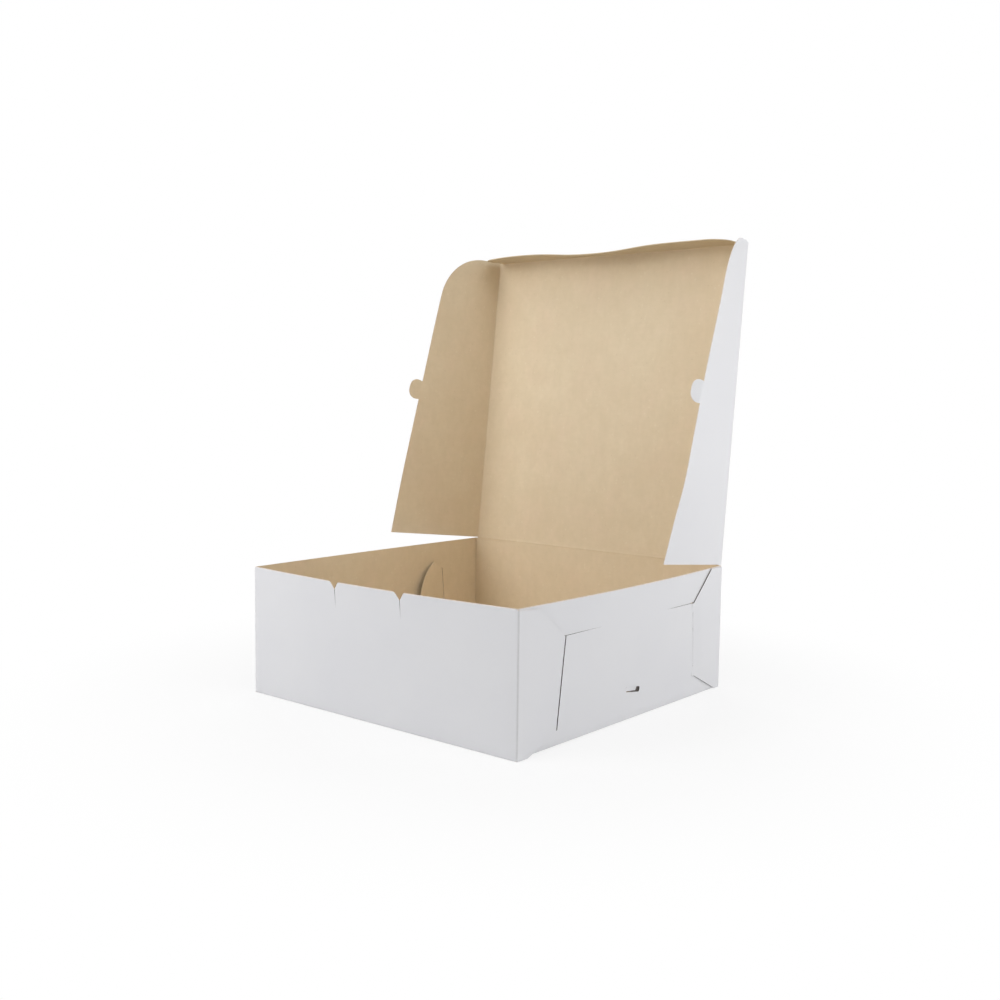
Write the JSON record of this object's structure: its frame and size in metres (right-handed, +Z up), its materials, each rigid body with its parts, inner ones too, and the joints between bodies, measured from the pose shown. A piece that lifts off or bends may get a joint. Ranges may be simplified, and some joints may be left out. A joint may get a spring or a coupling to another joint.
{
  "type": "cake box",
  "caption": "Square cake box folded from white-faced brown board: low tray with hook-locked corners and a hinged lid with tapered side flaps, locking tabs and a tuck flap.",
  "frame": {"origin": "middle of the base's underside, on the surface that the box stands on", "axes": "+X along the front wall to the right as seen from the front, +Y from the front wall to the hinge at the back, +Z up"},
  "size_m": [0.254, 0.282, 0.3477],
  "materials": {
    "board": "matt white clay coat on the outside, bare brown kraft on the inside"
  },
  "bodies": {
    "tray": {"tray": "board"},
    "lid": {"lid": "board"},
    "lid_left_flap": {"lid_left_flap": "board"},
    "lid_right_flap": {"lid_right_flap": "board"},
    "lid_front_flap": {"lid_front_flap": "board"}
  },
  "joints": [
    {"name": "lid_hinge", "type": "hinge", "parent": "tray", "child": "lid", "pos_m": [0, 0.1267, 0.0966], "axis": [-1, 0, 0], "range_deg": [-96.4, 83.6]},
    {"name": "left_flap_fold", "type": "hinge", "parent": "lid", "child": "lid_left_flap", "pos_m": [-0.1236, 0.1267, 0.0966], "axis": [0, -0.1115, -0.9938], "range_deg": [-4, 90.6]},
    {"name": "right_flap_fold", "type": "hinge", "parent": "lid", "child": "lid_right_flap", "pos_m": [0.1236, 0.1267, 0.0966], "axis": [0, 0.1115, 0.9938], "range_deg": [-4, 90.6]},
    {"name": "front_flap_fold", "type": "hinge", "parent": "lid", "child": "lid_front_flap", "pos_m": [0, 0.15468, 0.34604], "axis": [-1, 0, 0], "range_deg": [-4, 94]}
  ]
}
